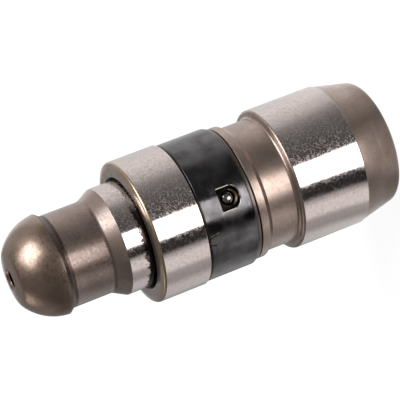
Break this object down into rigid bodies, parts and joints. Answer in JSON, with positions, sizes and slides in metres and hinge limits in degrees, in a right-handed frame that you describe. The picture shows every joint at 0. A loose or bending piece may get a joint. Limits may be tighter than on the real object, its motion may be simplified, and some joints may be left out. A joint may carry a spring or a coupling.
{
  "type": "hydraulic tappet",
  "caption": "Hydraulic tappet with a ball head: ground steel housing with oil groove and black windowed band, sprung ball plunger and check valve inside.",
  "frame": {"origin": "centre of the flat base face, on the housing's axis", "axes": "+Z along the housing's axis towards the ball head, -Y towards the band's window"},
  "size_m": [0.012, 0.012, 0.0328],
  "materials": {
    "housing_steel": "ground bright lands, brown tempered steel between and below them",
    "black_band": "black oxide, semi-gloss",
    "head_steel": "brown tempered steel, ground stem",
    "ball_steel": "polished bearing steel",
    "inner_steel": "ground steel",
    "spring_steel": "drawn spring wire"
  },
  "bodies": {
    "housing": {"housing": "housing_steel", "retaining_band": "black_band", "lock_ball": "ball_steel", "return_spring": "spring_steel"},
    "pressure_piston": {"pressure_piston": "inner_steel", "valve_cap": "inner_steel", "check_spring": "spring_steel"},
    "ball_plunger": {"ball_plunger": "head_steel"},
    "check_ball": {"check_ball": "ball_steel"}
  },
  "joints": [
    {"name": "plunger_stroke", "type": "slide", "parent": "housing", "child": "pressure_piston", "axis": [0, 0, -1], "range_m": [0, 0.0022], "stiffness_N_per_m": 3000, "springref_m": -0.004, "deforming": ["return_spring"]},
    {"name": "plunger_spin", "type": "hinge", "parent": "pressure_piston", "child": "ball_plunger", "pos_m": [0, 0, 0.0122], "axis": [0, 0, 1], "continuous": true},
    {"name": "check_lift", "type": "slide", "parent": "pressure_piston", "child": "check_ball", "axis": [0, 0, -1], "range_m": [0, 0.00025], "stiffness_N_per_m": 100, "springref_m": -0.002, "deforming": ["check_spring"]}
  ]
}
